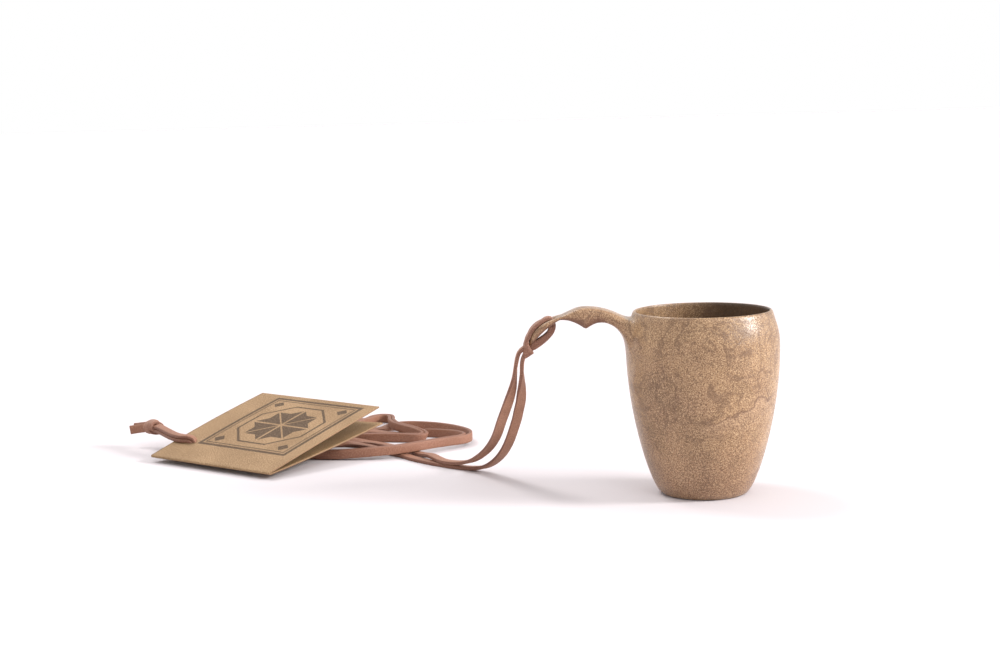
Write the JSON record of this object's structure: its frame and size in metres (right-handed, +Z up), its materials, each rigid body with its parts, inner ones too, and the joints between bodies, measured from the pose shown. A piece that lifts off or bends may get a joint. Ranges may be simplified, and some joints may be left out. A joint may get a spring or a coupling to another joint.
{
  "type": "kuksa cup",
  "caption": "Small one-piece dram cup with an arched finger handle, a knotted flat leather lace hitched through the handle, and a folded card tag on the lace.",
  "frame": {"origin": "centre of the cup's flat foot, on the ground", "axes": "+Z up along the bowl's axis; the handle points along -X; the lace and tag lie beyond the handle, towards -X and +Y"},
  "size_m": [0.2415, 0.1723, 0.0636],
  "materials": {
    "cup_wood": "satin, oiled, fine mottled grain",
    "lace_leather": "matte, undyed, with rough cut edges",
    "tag_card": "matte kraft board with dark brown print"
  },
  "bodies": {
    "cup": {"cup": "cup_wood", "lace_hitch": "lace_leather", "lace_left": "lace_leather", "lace_right": "lace_leather", "lace_coil": "lace_leather", "lace_bight": "lace_leather", "lace_to_tag": "lace_leather", "tag_lower_leaf": "tag_card"},
    "upper_leaf": {"tag_upper_leaf": "tag_card", "lace_over_tag": "lace_leather", "end_knot": "lace_leather", "lace_ends": "lace_leather"}
  },
  "joints": [
    {"name": "tag_fold", "type": "hinge", "parent": "cup", "child": "upper_leaf", "pos_m": [-0.2006, 0.0743, 0.0024], "axis": [0.7944, -0.6074, 0], "range_deg": [-5, 90]}
  ]
}
